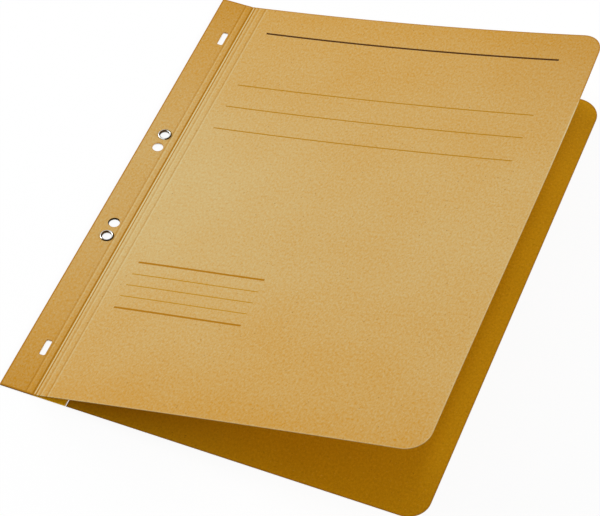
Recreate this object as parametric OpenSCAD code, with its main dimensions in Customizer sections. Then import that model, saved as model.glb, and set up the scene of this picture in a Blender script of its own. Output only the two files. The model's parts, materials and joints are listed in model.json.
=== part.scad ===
// Fastener folder for A4 sheets: a back cover, a liner strip and a front cover of manila card,
// stacked along a punched filing strip with two metal eyelets. A two-prong paper fastener with
// a cover rail and two sliders lies on the liner, under the front cover.
// Frame: +X from the filing edge to the fore-edge, +Y along the spine, +Z up, with the origin
// under the middle of the back cover.

/* [Sheets] */
// Width of the back cover, from the filing edge to the fore-edge
back_w = 238; // [225:1:260]
// Height of the folder along the spine
folder_h = 305; // [290:1:330]
// Thickness of one sheet of card
card_t = 0.4; // [0.35:0.05:0.5]
// Radius of the corners at the fore-edge
corner_r = 12.5; // [6:0.5:20]
// Width of the liner, from the filing edge to its inner edge
liner_w = 38.5; // [37:0.5:60]

/* [Front cover] */
// Width of the front cover, from the main fold to its fore-edge
cover_w = 222; // [200:1:240]
// Angle at which the front cover stands open
cover_lift = 15.2; // [13:0.1:40]
// Width of the hinge panel, from the main fold to the last crease
hinge_w = 8.3; // [7:0.1:12]
// Gap between two panels of one sheet at a fold
fold_gap = 0.1; // [0.1:0.05:0.2]
// Angle by which the warped cover starts below its lift
fold_ease = 1.03; // [0:0.01:2]
// Angle by which that start falls from the bottom edge to the top edge
cover_twist = 5.37; // [0:0.01:8]
// Change of slope from the fold to the fore-edge, along the bottom edge
curl_bottom = -1.72; // [-4:0.01:4]
// Change of slope from the fold to the fore-edge, along the top edge
curl_top = 5.85; // [0:0.01:8]
// Angle by which the fore-edge sags between its ends
fore_sag = 1.2; // [0:0.1:3]
// Depth of the shallow dish in the lower part of the cover
dish_depth = 2; // [0:0.1:4]
// Height of the dish, from the bottom edge
dish_h = 183; // [120:1:280]
// Distance from the main fold to the dish
dish_start = 20; // [10:1:60]
// Distance beyond the hinge panel over which the warp sets in
warp_start = 20; // [15:1:40]

/* [Filing strip] */
// Width of the filing strip, from the filing edge to its crease
strip_w = 15.2; // [14:0.1:18]
// Width of the band between the strip's crease and the main fold
band_w = 4.3; // [3:0.1:8]
// Gap between the strip and the band, where the sheets bend
crease_gap = 0.2; // [0.2:0.05:0.4]
// Distance from the strip's crease to the middle of the eyelets and holes
hole_inset = 4.2; // [4:0.1:5]
// Distance between the two plain holes
hole_pitch = 60; // [55:1:62]
// Diameter of the plain holes
hole_d = 6.3; // [5:0.1:6.5]
// Distance between the two end slots
slot_pitch = 244; // [220:1:260]
// Length of an end slot
slot_l = 10.4; // [8:0.1:14]
// Width of an end slot
slot_w = 3.4; // [2.5:0.1:3.6]
// Distance from the strip's crease to the middle of the slots
slot_inset = 2.7; // [2.5:0.1:4]

/* [Eyelets] */
// Distance between the two eyelets
eyelet_pitch = 80; // [78:1:90]
// Bore of an eyelet
eyelet_bore = 5.5; // [5:0.1:6]
// Wall of an eyelet's barrel
eyelet_wall = 0.3; // [0.2:0.05:0.4]
// Outer diameter of an eyelet's rims
rim_d = 7.8; // [7.4:0.1:8]
// Thickness of an eyelet's flat foot
foot_t = 0.2; // [0.15:0.05:0.3]
// Gap between an eyelet and the card around it
eyelet_fit = 0.05; // [0.03:0.01:0.1]

/* [Fastener] */
// Distance between the two prongs
prong_pitch = 80; // [76:1:90]
// Length of a prong that lies folded on the rail
prong_l = 30; // [24:1:33]
// Width of the tongue and its prongs
tongue_w = 5; // [4:0.1:5.5]
// Thickness of the tongue's metal
tongue_t = 0.2; // [0.15:0.05:0.25]
// Distance from the liner's inner edge to the middle of the fastener
fastener_inset = 5.7; // [5.4:0.1:7]
// Width of the cover rail
rail_w = 8; // [7.5:0.1:8.5]
// Thickness of the cover rail
rail_t = 0.3; // [0.2:0.05:0.35]
// Length of the rail beyond each prong
rail_end = 8; // [6:0.5:12]
// Length of a slider along the rail
slider_l = 8; // [6:0.5:9]
// Thickness of a slider's metal
slider_t = 0.25; // [0.2:0.05:0.3]
// Width of the lips that a slider folds under the rail
lip_w = 1.2; // [0.8:0.1:1.5]
// Distance from the middle of the fastener to the middle of a slider
slider_y = 22; // [20:0.5:24]
// Gap between the fastener's pieces where they slide or pass through
slide_fit = 0.06; // [0.05:0.01:0.08]

/* [Hidden] */
$fn = 96;
manila = [0.80, 0.66, 0.37];
golden = [0.65, 0.45, 0.05];
steel = [0.78, 0.79, 0.80];

edge_x = -back_w / 2;
crease_x = edge_x + strip_w;
fold_x = crease_x + band_w;
hole_x = crease_x - hole_inset;
slot_x = crease_x - slot_inset;
fastener_x = edge_x + liner_w - fastener_inset;

liner_z = card_t;
front_z = 2 * card_t;
strip_top = 3 * card_t;
fold_z = strip_top + fold_gap / 2;

rim_w = (rim_d - eyelet_bore) / 2;
barrel_r = eyelet_bore / 2 + eyelet_wall;

// Heights of the fastener's layers above the liner
lip_z = front_z + slide_fit;
rail_z = lip_z + slider_t + slide_fit;
prong_z = rail_z + rail_t;
slider_roof = prong_z + tongue_t + slide_fit;
rail_l = prong_pitch + 2 * rail_end;
slider_in_w = rail_w + 2 * slide_fit;
slider_w = slider_in_w + 2 * slider_t;
slit_w = tongue_w + 2 * slide_fit;
slit_t = tongue_t + 2 * slide_fit;
collar_d = rail_w - 1;

// Extra length of a tool that cuts right through
cut = 1;

// Steps of the warped cover: across it, along the spine, and round each corner
cover_cols = 6;
cover_rows = 6;
corner_rows = 5;

// Sheet from x0 to x1 over the whole height, with square corners
module sheet(x0, x1) {
    translate([x0, -folder_h / 2]) square([x1 - x0, folder_h]);
}

// Sheet from x0 to x1 with round corners at x1
module round_sheet(x0, x1) {
    sheet(x0, x1 - corner_r);
    translate([x1 - corner_r, -folder_h / 2 + corner_r])
        square([corner_r, folder_h - 2 * corner_r]);
    for (side = [-1, 1])
        translate([x1 - corner_r, side * (folder_h / 2 - corner_r)]) circle(corner_r);
}

module card(z, colour) {
    color(colour) translate([0, 0, z]) linear_extrude(card_t) children();
}

// Both places of a pair that is spaced along the spine
module pair(x, pitch) {
    for (side = [-1, 1]) translate([x, side * pitch / 2]) children();
}

module slot() {
    square([slot_w, slot_l - slot_w], center = true);
    for (end = [-1, 1]) translate([0, end * (slot_l - slot_w) / 2]) circle(d = slot_w);
}

module strip_outline() {
    difference() {
        sheet(edge_x, crease_x - crease_gap / 2);
        pair(hole_x, eyelet_pitch) circle(barrel_r + eyelet_fit);
        pair(hole_x, hole_pitch) circle(d = hole_d);
        pair(slot_x, slot_pitch) slot();
    }
}

module strip_back_layer() {
    difference() {
        card(0, golden) strip_outline();
        // Seats that take the eyelets' feet flush with the underside
        translate([0, 0, -cut])
            linear_extrude(foot_t + cut) pair(hole_x, eyelet_pitch) circle(rim_d / 2 + eyelet_fit);
    }
}

module strip_liner_layer() card(liner_z, golden) strip_outline();

module strip_front_layer() card(front_z, manila) strip_outline();

// Barrel through the three sheets, flat foot below and rolled rim on top
module eyelet(side) {
    color(steel) translate([hole_x, side * eyelet_pitch / 2, 0]) rotate_extrude() {
        translate([eyelet_bore / 2, 0]) square([eyelet_wall, strip_top]);
        translate([eyelet_bore / 2, 0]) square([rim_w, foot_t]);
        translate([eyelet_bore / 2 + rim_w / 2, strip_top]) intersection() {
            circle(d = rim_w);
            translate([-rim_w / 2, 0]) square([rim_w, rim_w / 2]);
        }
    }
}

module eyelet_upper() eyelet(1);

module eyelet_lower() eyelet(-1);

module back_cover() card(0, golden) round_sheet(crease_x + crease_gap / 2, edge_x + back_w);

// Liner with a pocket under it for the tongue and two slits for its prongs
module liner() {
    difference() {
        card(liner_z, golden) sheet(crease_x + crease_gap / 2, edge_x + liner_w);
        translate([fastener_x, 0, liner_z])
            cube([slit_w, prong_pitch + slit_t, 2 * tongue_t], center = true);
        translate([0, 0, liner_z]) linear_extrude(card_t + cut)
            pair(fastener_x, prong_pitch) square([slit_w, slit_t], center = true);
    }
}

module spine_band() card(front_z, manila) sheet(crease_x + crease_gap / 2, fold_x - fold_gap / 2);

// Places a flat panel of the front sheet, measured from the main fold, at the cover's lift
module lifted() {
    translate([fold_x, 0, fold_z]) rotate([0, -cover_lift, 0]) translate([0, 0, -card_t])
        children();
}

module hinge_panel() lifted() card(0, manila) sheet(fold_gap, hinge_w - fold_gap);

function smooth(share) = let (t = min(max(share, 0), 1)) t * t * (3 - 2 * t);

// Depth of the dish at s from the main fold and y along the spine
function dish(s, y) =
    let (across = (s - dish_start) / (cover_w - dish_start), up = (y + folder_h / 2) / dish_h)
    min(across, up) < 0 || max(across, up) > 1 ? 0
        : dish_depth * pow(sin(180 * across) * sin(180 * up), 2);

// Height of the warped cover over its flat plane
function warp(s, y) =
    let (up = 0.5 + y / folder_h,
         start = cover_twist * (0.5 - up) - fold_ease,
         curl = curl_bottom + (curl_top - curl_bottom) * up - fore_sag * sin(180 * up * up))
    smooth((s - hinge_w) / warp_start)
        * (s * (start + curl * s / (2 * cover_w)) * PI / 180 - dish(s, y));

// Rows of the cover from the bottom to the top edge: place along the spine, and reach
corner_ends = [for (k = [0 : corner_rows]) let (turn = 90 * k / corner_rows)
    [folder_h / 2 - corner_r * (1 - cos(turn)), cover_w - corner_r * (1 - sin(turn))]];
straight_h = folder_h - 2 * corner_r;
cover_lines = concat(
    [for (end = corner_ends) [-end[0], end[1]]],
    [for (k = [1 : cover_rows - 1]) [straight_h * (k / cover_rows - 0.5), cover_w]],
    [for (k = [corner_rows : -1 : 0]) corner_ends[k]]);

// Warped sheet between the hinge panel and the fore-edge, with round corners there
module front_cover() {
    first = hinge_w + fold_gap;
    last_row = len(cover_lines) - 1;
    layer = len(cover_lines) * (cover_cols + 1);
    points = [for (z = [0, card_t], line = cover_lines, j = [0 : cover_cols])
        let (s = first + (line[1] - first) * j / cover_cols) [s, line[0], z + warp(s, line[0])]];
    function at(i, j) = i * (cover_cols + 1) + j;
    function wall(a, b) = [[a, a + layer, b + layer], [a, b + layer, b]];
    faces = concat(
        [for (i = [0 : last_row - 1], j = [0 : cover_cols - 1])
            each [[at(i, j), at(i, j + 1), at(i + 1, j + 1)], [at(i, j), at(i + 1, j + 1), at(i + 1, j)]]],
        [for (i = [0 : last_row - 1], j = [0 : cover_cols - 1])
            each [[layer + at(i, j), layer + at(i + 1, j + 1), layer + at(i, j + 1)],
                  [layer + at(i, j), layer + at(i + 1, j), layer + at(i + 1, j + 1)]]],
        [for (j = [0 : cover_cols - 1]) each wall(at(0, j), at(0, j + 1))],
        [for (j = [0 : cover_cols - 1]) each wall(at(last_row, j + 1), at(last_row, j))],
        [for (i = [0 : last_row - 1]) each wall(at(i + 1, 0), at(i, 0))],
        [for (i = [0 : last_row - 1]) each wall(at(i, cover_cols), at(i + 1, cover_cols))]);
    lifted() color(manila) polyhedron(points, faces, convexity = 4);
}

// One strip of sheet metal: a base under the liner and two prongs folded over the rail
module fastener_tongue() {
    color(steel) translate([fastener_x, 0, 0]) {
        translate([-tongue_w / 2, -(prong_pitch + tongue_t) / 2, liner_z])
            cube([tongue_w, prong_pitch + tongue_t, tongue_t]);
        for (side = [-1, 1]) {
            translate([-tongue_w / 2, side * prong_pitch / 2 - tongue_t / 2, liner_z])
                cube([tongue_w, tongue_t, prong_z + tongue_t - liner_z]);
            translate([0, side * (prong_pitch - prong_l) / 2, prong_z + tongue_t / 2])
                cube([tongue_w, prong_l, tongue_t], center = true);
        }
    }
}

// Flat rail with a pressed collar that carries it on the liner around each prong
module cover_rail() {
    color(steel) difference() {
        union() {
            translate([fastener_x - rail_w / 2, -rail_l / 2, rail_z]) cube([rail_w, rail_l, rail_t]);
            translate([0, 0, front_z]) linear_extrude(rail_z - front_z)
                pair(fastener_x, prong_pitch) circle(d = collar_d);
        }
        translate([0, 0, front_z - cut]) linear_extrude(rail_z + rail_t - front_z + 2 * cut)
            pair(fastener_x, prong_pitch) square([slit_w, slit_t], center = true);
    }
}

// Flat clip round the rail and a folded prong, with two lips under the rail
module slider(side) {
    inside_h = slider_roof - lip_z - slider_t;
    color(steel) translate([fastener_x, side * slider_y, lip_z]) difference() {
        translate([-slider_w / 2, -slider_l / 2, 0])
            cube([slider_w, slider_l, inside_h + 2 * slider_t]);
        translate([-slider_in_w / 2, -slider_l / 2 - cut, slider_t])
            cube([slider_in_w, slider_l + 2 * cut, inside_h]);
        translate([lip_w - slider_in_w / 2, -slider_l / 2 - cut, -cut])
            cube([slider_in_w - 2 * lip_w, slider_l + 2 * cut, slider_t + cut]);
    }
}

module slider_upper() slider(1);

module slider_lower() slider(-1);

strip_back_layer();
strip_liner_layer();
strip_front_layer();
eyelet_upper();
eyelet_lower();
back_cover();
liner();
spine_band();
hinge_panel();
front_cover();
fastener_tongue();
cover_rail();
slider_upper();
slider_lower();
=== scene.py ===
# Looks of the card fastener folder: creased card sheets with cut edges and printed rules, nickel
# eyelets and a tin-plate paper fastener, on a white floor in soft light.
import json
import math

import bpy
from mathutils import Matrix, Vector
from mathutils.geometry import delaunay_2d_cdt


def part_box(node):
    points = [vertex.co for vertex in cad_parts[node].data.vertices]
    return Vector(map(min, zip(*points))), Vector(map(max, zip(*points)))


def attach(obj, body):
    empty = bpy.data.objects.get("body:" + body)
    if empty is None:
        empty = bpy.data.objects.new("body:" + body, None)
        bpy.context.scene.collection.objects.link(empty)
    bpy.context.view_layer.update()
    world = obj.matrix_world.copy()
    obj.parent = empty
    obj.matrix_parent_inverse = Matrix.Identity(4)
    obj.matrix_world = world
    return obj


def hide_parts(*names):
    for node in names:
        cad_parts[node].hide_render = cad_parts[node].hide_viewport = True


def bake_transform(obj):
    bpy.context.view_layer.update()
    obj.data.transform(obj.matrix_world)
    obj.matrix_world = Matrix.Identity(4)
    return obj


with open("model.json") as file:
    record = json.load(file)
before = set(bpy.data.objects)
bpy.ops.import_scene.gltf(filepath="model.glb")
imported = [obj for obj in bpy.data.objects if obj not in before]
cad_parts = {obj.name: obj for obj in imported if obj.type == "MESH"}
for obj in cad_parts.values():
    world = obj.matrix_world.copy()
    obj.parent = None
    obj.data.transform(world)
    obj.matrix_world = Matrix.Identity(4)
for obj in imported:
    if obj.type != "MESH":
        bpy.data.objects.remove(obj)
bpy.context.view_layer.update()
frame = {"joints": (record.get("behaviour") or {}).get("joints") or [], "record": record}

MM = 0.001
QUARTER = math.pi / 2
JOINTS = {joint["name"]: joint for joint in frame["joints"]}
MOUNTS = {mount["name"]: mount for mount in frame["record"]["mounts"]}

# Places from the frame. A sheet's own coordinates are u, from the filing edge, and y.
LINER_TRIM = 0.25 * MM
HINGE_SEAM = 5.5 * MM
STRIP_AXIS = Vector(JOINTS["strip_bend"]["pos_m"])
FOLD_AXIS = Vector(JOINTS["cover_fold"]["pos_m"])
FLEX_AXIS = Vector(JOINTS["cover_flex"]["pos_m"])
EDGE_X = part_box("strip_back_layer")[0].x
HALF_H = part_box("back_cover")[1].y
BACK_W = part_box("back_cover")[1].x - EDGE_X
LINER_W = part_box("liner")[1].x - EDGE_X - LINER_TRIM
BACK_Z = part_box("back_cover")[0].z
LINER_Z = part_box("liner")[0].z
FRONT_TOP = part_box("spine_band")[1].z
CREASE_U = STRIP_AXIS.x - EDGE_X
FOLD_U = FOLD_AXIS.x - EDGE_X
FLEX_U = FOLD_U + (FLEX_AXIS - FOLD_AXIS).length
BAND_SEAM_U = (CREASE_U + FOLD_U) / 2
HINGE_SEAM_U = FOLD_U + HINGE_SEAM


def lerp(a, b, share):
    return a + (b - a) * share


def smooth(share):
    share = min(max(share, 0.0), 1.0)
    return share * share * (3 - 2 * share)


def bell(distance, width):
    return math.exp(-((distance / width) ** 2))


def spread(first, last, count):
    """count values from first to last, ends included."""
    return [lerp(first, last, i / (count - 1)) for i in range(count)]


def up_share(y):
    """0 at the bottom end of the sheets, 1 at their top end."""
    return 0.5 + y / (2 * HALF_H)


def from_end(y):
    """Distance from the nearer end of the sheets."""
    return HALF_H - abs(y)


def even(value):
    """Function with the same value at every place."""
    return lambda *place: value


def mount_centre(name):
    place = MOUNTS[name]["pos_m"]
    return Vector((place[0] - EDGE_X, place[1]))


# Holes of the filing strip, from the mounts
EYELETS = [mount_centre(name) for name in ("upper_eyelet", "lower_eyelet")]
BORE_R = MOUNTS["upper_eyelet"]["dims"]["r_mm"] * MM
EYELET_T = 0.3 * MM
EYELET_FIT = 0.05 * MM
BARREL_R = BORE_R + EYELET_T
RIM_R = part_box("eyelet_upper")[1].x - EDGE_X - EYELETS[0].x
PLAIN_HOLES = [mount_centre(name) for name in ("upper_plain_hole", "lower_plain_hole")]
PLAIN_R = MOUNTS["upper_plain_hole"]["dims"]["r_mm"] * MM
# The lower plain hole, whose walls and rim have painted shadow
SHADOWED_HOLE = PLAIN_HOLES[1]
SLOT_DIMS = MOUNTS["end_slots"]["dims"]
SLOT_W = 2 * SLOT_DIMS["hole_r_mm"] * MM
SLOT_L = SLOT_DIMS["slot_length_mm"] * MM
SLOT_CORNER = 1 * MM
SLOTS = [
    mount_centre("end_slots") + Vector((0.0, side * SLOT_DIMS["spacing_y_mm"] / 2 * MM))
    for side in (-1, 1)
]

# Card: a sheet is a hair thinner than its room, so that the layers don't touch
SHEET_T = 0.37 * MM
LAYER_GAP = 0.02 * MM
CORNER_R = 12.5 * MM
CORNER_STEPS = 12
RIM_W = 0.45 * MM
CUT_EPSILON = 0.001
SHEET_SHARP = math.radians(40)
BEND_HALF = 0.55 * MM

# Third coordinate of each layer's grain, and what the underside adds to it, so that no two are alike
BACK_LAYER = 0.1
LINER_LAYER = 0.2
FRONT_LAYER = 0.3
RAIL_LAYER = 0.4
UNDERSIDE = 0.5

# Material slots of a sheet: its faces, its kinds of wall, and the upper faces that stand out
UPPER_SLOT, LOWER_SLOT, OUTLINE_SLOT, HOLE_SLOT, SHADOW_WALL_SLOT, SLIT_SLOT, SPECIAL_SLOT = range(7)

# The filing edge is bowed inward a little: how far, where most, how far along, and how far in
EDGE_BOW = 0.46 * MM
EDGE_BOW_Y = 35 * MM
EDGE_BOW_H = 120 * MM
EDGE_BOW_W = 6 * MM

# The front cover is warped: its slope, from the fold to the fore-edge and from bottom to top, with
# a sag along the fore-edge and a shallow dish in its lower part
SLOPE_FOLD_BOTTOM = math.radians(16.85)
SLOPE_FOLD_TOP = math.radians(11.48)
SLOPE_FORE_BOTTOM = math.radians(15.13)
SLOPE_FORE_TOP = math.radians(17.33)
FORE_SAG = math.radians(1.2)
COVER_W_BOTTOM = 226.1 * MM
COVER_W_TOP = 222.5 * MM
DISH_DEPTH = 2 * MM
DISH_START = 20 * MM
DISH_SHARE = 0.6

# Creases of the front sheet: place, depth of the groove, how dark its groove line is, worn card with
# painted shade, and how pale the painted highlight on its ridge is
CREASES = (
    (CREASE_U - 0.1 * MM, 0.08 * MM, 0.45, 0.38),
    (FOLD_U - 0.1 * MM, 0.15 * MM, 2.10, 1.00),
    (FOLD_U + 1.65 * MM, 0.07 * MM, 1.05, 0.38),
    (FOLD_U + 4.15 * MM, 0.05 * MM, 0.37, 0.30),
    (FLEX_U + 0.2 * MM, 0.05 * MM, 0.46, 0.34),
)
CREASE_PLACES = [crease[0] for crease in CREASES]
GROOVE_W = 0.41 * MM
RIDGE_OFFSET = 1 * MM
RIDGE_W = 0.40 * MM
RIDGE_SHARE = 0.30
CREASE_END_GAIN = 0.35
CREASE_END_W = 40 * MM

# Columns of points across a crease, in mm from its place, and the least space between two columns
CREASE_STEPS = (-1.0, -0.7, -0.45, -0.3, -0.15, 0.0, 0.15, 0.3, 0.45, 0.6, 0.75, 0.95, 1.15, 1.4, 1.75)
COLUMN_GAP = 0.08 * MM

# Painted sheen: how pale the front sheet is, from 0 to 1, at its ends, and how much paler in its middle,
# where the light's sheen is painted
COVER_RISE = 1.5 * MM
SHEEN_STRIP_BASE = 0.20
SHEEN_COVER_BASE = 0.40
SHEEN_STRIP_SWELL = 0.43
SHEEN_FOLD_SWELL = 0.44
SHEEN_FORE_SWELL = 0.24
SHEEN_U = 30 * MM
SHEEN_W = 70 * MM
SHEEN_STRIP_Y = 8 * MM
SHEEN_STRIP_H = 125 * MM
SHEEN_COVER_Y = -6 * MM
SHEEN_COVER_H = 95 * MM
SHEEN_END_LOSS = 0.25
SHEEN_END_W = 15 * MM
EVEN_PAINTED_LIGHT = 0.5

# Painted light on the back sheet: its level near the spine and under the cover, and how much paler along
# the fore-edge, where the light that falls in under the cover is painted
BACK_LIGHT_SPINE = 0.58
BACK_LIGHT_COVER = 0.21
BACK_LIGHT_FROM = 90 * MM
BACK_LIGHT_SPAN = 70 * MM
BACK_LIGHT_BARE = 0.57
BACK_LIGHT_BARE_TOP = 0.35
BACK_LIGHT_BARE_W = 16 * MM
BACK_LIGHT_BARE_SPAN = 10 * MM
BACK_LIGHT_BARE_LOW = 50 * MM
BACK_LIGHT_BARE_HIGH = 72 * MM

# Tone, below 0 where it is dark and above 0 where it is pale: darkening of the front sheet, painted
# shadow round the lower plain hole, painted highlight and shade along its rims, and what share of the
# tone the other faces have
DARKEN_CORNER = 0.20
DARKEN_CORNER_W = 60 * MM
DARKEN_STRIP = 0.12
DARKEN_END = 0.20
DARKEN_END_W = 30 * MM
# Painted shadow round the lower plain hole: its width, the side it faces, and how far round it reaches
SHADOW_RIM = 0.40 * MM
SHADOW_SIDE = Vector((-0.81, 0.59))
SHADOW_SPREAD = 0.13
# Rims: painted highlight along the cover's bottom and fore-edge, darker along its top, and painted shade
# along the filing strip's edges
RIM_PALE_LOW = 0.28
RIM_PALE_HIGH = 0.90
RIM_PALE_FROM = 0.55
RIM_PALE_SPAN = 0.30
RIM_TOP = -1.10
RIM_TOP_FROM = 55 * MM
RIM_TOP_SPAN = 12 * MM
RIM_DARK = -2.00
RIM_FADE = 3 * MM
# Shares: of the painted edge shade at the holes, of all the tone on the undersides, of the crease tone on
# the back sheet, and of the painted shade on the back sheet's and liner's rims
HOLE_EDGE_SHADE = 0.5
UNDER_WEAR_AND_SHADE = 0.6
BACK_CREASE_WEAR_AND_SHADE = 0.35
BACK_RIM_SHADE = 0.5
LINER_RIM_SHADE = 0.4

# Relief slits in the back sheet, with a painted shadow along them, and the torn inner edge of the liner
# above them
NOTCH_W = 0.42 * MM
NOTCH_L = 9 * MM
NOTCH_ROUND = 0.4
NOTCH_SHADOW = 0.9
NOTCH_EDGE_U = LINER_W + NOTCH_W
TORN_W = 0.25 * MM
TORN_DROP = 0.5

# Rows and columns of points over the sheets, close where their colour changes
BACK_ROWS = spread(-140 * MM, 140 * MM, 15)
FRONT_ROWS = spread(-148.5 * MM, 148.5 * MM, 38)
BACK_COLUMNS = spread(2 * NOTCH_EDGE_U, BACK_W - BACK_LIGHT_BARE_W, 12)
BARE_COLUMNS = spread(BACK_W - 0.8 * BACK_LIGHT_BARE_W, BACK_W - 0.2 * BACK_LIGHT_BARE_W, 5)
COVER_COLUMNS = spread(FLEX_U + 8 * MM, FOLD_U + COVER_W_TOP - 4 * MM, 27)

# Printed rules on the front cover: from and to, as distances in mm from the fold and the bottom edge,
# and how far the middle sags
INK_T = 0.025 * MM
RULE_STEP = 4 * MM
TITLE_WIDTH = 1.28 * MM
WRITING_WIDTH = 0.76 * MM
LABEL_WIDTH = 1.26 * MM
THIN_WIDTH = 0.62 * MM
TITLE_RULE = ((17.5, 284.4), (201.2, 284.1), 0.42)
WRITING_RULES = (
    ((17.7, 240.0), (201.0, 239.7), 0.53),
    ((17.5, 222.25), (200.7, 221.75), 0.72),
    ((17.5, 204.25), (201.0, 203.55), 0.78),
)
LABEL_RULES = (
    ((18.1, 98.3), (95.4, 98.2), 0.15),
    ((18.2, 89.65), (95.5, 89.45), 0.15),
    ((18.3, 81.6), (95.65, 81.4), 0.15),
    ((18.4, 73.6), (95.8, 73.3), 0.15),
    ((18.5, 65.1), (95.9, 64.7), 0.15),
)

# Eyelets: the foot, the profile of the rolled rim, and the sides that its painted dark reflection and
# shade face
EYELET_FOOT = 0.16 * MM
FOOT_ROUND = 0.06 * MM
FOOT_TONE = 0.2
HIDDEN_TONE = 1.0
BARREL_END = 0.1 * MM
RIM_START = -0.35
RIM_POINTS = 25
RING_SHARP = math.radians(50)
DARK_REFLECTION_SIDES = {"upper": math.radians(22), "lower": math.radians(-30)}
INNER_SHADE_SIDE = math.radians(-3)
PAINTED_DARK_FROM = -0.05
PAINTED_DARK_FULL = 0.15
CREVICE_FROM = 0.97
OUTER_PATINA_AND_DARK_REFLECTION = 2.0
INNER_PATINA_AND_SHADE = 1.5

# Fastener tongue: a flat ribbon whose ends rise through the liner and fold back as prongs
TONGUE_LOW, TONGUE_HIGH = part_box("fastener_tongue")
TONGUE_T = 0.2 * MM
TONGUE_BEND = 0.3 * MM
TONGUE_EDGE = 0.96
TONGUE_ROUND = 0.6
BEND_POINTS = 7
PRONG_W = TONGUE_HIGH.x - TONGUE_LOW.x
PRONG_Y = TONGUE_HIGH.y - TONGUE_T / 2
PRONG_L = 30 * MM
PRONG_FIT = 0.06 * MM
PRONG_FROM = 4 * MM
PRONG_POINTS = 6
PRONG_TIP = 2.2 * MM
TIP_TURNS = spread(0.2, 1.5, 9)
TIP_LEAST = 0.01
FOLDED_FROM = 3.0
LOFT_SHARP = math.radians(35)
FASTENER_X = (TONGUE_LOW.x + TONGUE_HIGH.x) / 2
FASTENER_U = FASTENER_X - EDGE_X

# Fastener rail: a plate with a shallow channel for the prongs, on two collars
RAIL_LOW, RAIL_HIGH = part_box("cover_rail")
RAIL_HALF_W = (RAIL_HIGH.x - RAIL_LOW.x) / 2
RAIL_REACH = RAIL_HIGH.y - RAIL_HALF_W
RAIL_T = 0.3 * MM
RAIL_ROUND = 0.09 * MM
RAIL_GUIDES = (RAIL_ROUND, 2.5 * RAIL_ROUND)
RAIL_STEPS = 24
RAIL_ROWS = spread(-36 * MM, 36 * MM, 13)
RAIL_CHANNEL = 0.06 * MM
CHANNEL_HALF = 2.75 * MM
CHANNEL_FLAT = 0.9 * CHANNEL_HALF
CHANNEL_RISE = 0.15 * CHANNEL_HALF
COLLAR_R = 3.5 * MM
COLLAR_FOOT_R = 0.94 * COLLAR_R
COLLAR_BORE = 2.75 * MM
COLLAR_DULL = 0.4

# Fastener sliders: bent clips with a ribbed grip. The shares are stations along a slider.
CLIP_T = 0.25 * MM
CLIP_LIP = 1.2 * MM
CLIP_ROUND = 0.30 * MM
CLIP_ROUND_POINTS = 6
CLIP_BEVEL = 0.06 * MM
CLIP_SHARES = [-1.0, *spread(-0.985, 0.985, 65), 1.0]
GRIP_DEPTH = 0.10 * MM
GRIP_PITCH = 1 * MM
GRIP_HALF_W = 3.2 * MM
GRIP_HALF_L = 3 * MM
GRIP_EDGES = (1.04 * GRIP_HALF_W, 0.96 * GRIP_HALF_W)

# Camera
CAMERA_PLACE = (0.32037, -0.787412, 1.047255)
CAMERA_TURN = tuple(math.radians(angle) for angle in (38.6224, 0.7833, 21.7127))
CAMERA_LENS = 146.10
SENSOR_W = 36.0

# Light: strength of the even light all round, and place, size, energy and colour of each lamp
ROOM_LIGHT = 0.50
LAMP_AIM = (-0.02, 0.0, 0.02)
LAMPS = {
    "key": ((-2.20, 0.15, 1.40), 1.00, 41.0, (0.98, 0.99, 1.0)),
    "fill": ((1.15, 0.35, 0.50), 0.50, 9.6, (1.0, 1.0, 1.0)),
}

# Floor: half its side, how far it lies below the part, its paint, and the share that is plain white
# where it is seen directly
FLOOR_REACH = 6.0
FLOOR_DROP = 0.05 * MM
FLOOR_PAINT = (0.97, 0.97, 0.97)
FLOOR_WHITE = 0.91
WHITE = (1.0, 1.0, 1.0)


# Shader helpers

def rgba(colour):
    return (*colour, 1.0)


def add_node(tree, kind, inputs=None, **settings):
    made = tree.nodes.new(kind)
    for name, value in settings.items():
        setattr(made, name, value)
    for name, value in (inputs or {}).items():
        if isinstance(value, bpy.types.NodeSocket):
            tree.links.new(value, made.inputs[name])
        else:
            made.inputs[name].default_value = value
    return made


def calc(tree, operation, a, b=0.0, clamp=False):
    return add_node(tree, "ShaderNodeMath", {0: a, 1: b}, operation=operation, use_clamp=clamp).outputs[0]


def mix_colour(tree, factor, *colours):
    """Mix of two colours, each a socket or three numbers."""
    a, b = (rgba(colour) if isinstance(colour, tuple) else colour for colour in colours)
    return add_node(tree, "ShaderNodeMix", {0: factor, 6: a, 7: b}, data_type="RGBA").outputs[2]


def noise(tree, place, scale, detail=2.0, roughness=0.5):
    inputs = {"Vector": place, "Scale": scale, "Detail": detail, "Roughness": roughness}
    return add_node(tree, "ShaderNodeTexNoise", inputs).outputs["Fac"]


def remap(tree, value, low, high, to_low=0.0, to_high=1.0):
    inputs = {"Value": value, "From Min": low, "From Max": high, "To Min": to_low, "To Max": to_high}
    return add_node(tree, "ShaderNodeMapRange", inputs).outputs["Result"]


def stretched(tree, place, scale):
    return add_node(tree, "ShaderNodeMapping", {"Vector": place, "Scale": scale}).outputs["Vector"]


def attribute(tree, name, output):
    return add_node(tree, "ShaderNodeAttribute", attribute_name=name).outputs[output]


def add_bump(tree, shader, height, strength, depth):
    bump = add_node(tree, "ShaderNodeBump", {"Height": height, "Strength": strength, "Distance": depth})
    tree.links.new(bump.outputs["Normal"], shader.inputs["Normal"])


def new_material(name):
    material = bpy.data.materials.new(name)
    material.use_nodes = True
    tree = material.node_tree
    return material, tree, tree.nodes["Principled BSDF"]


# Materials

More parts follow.
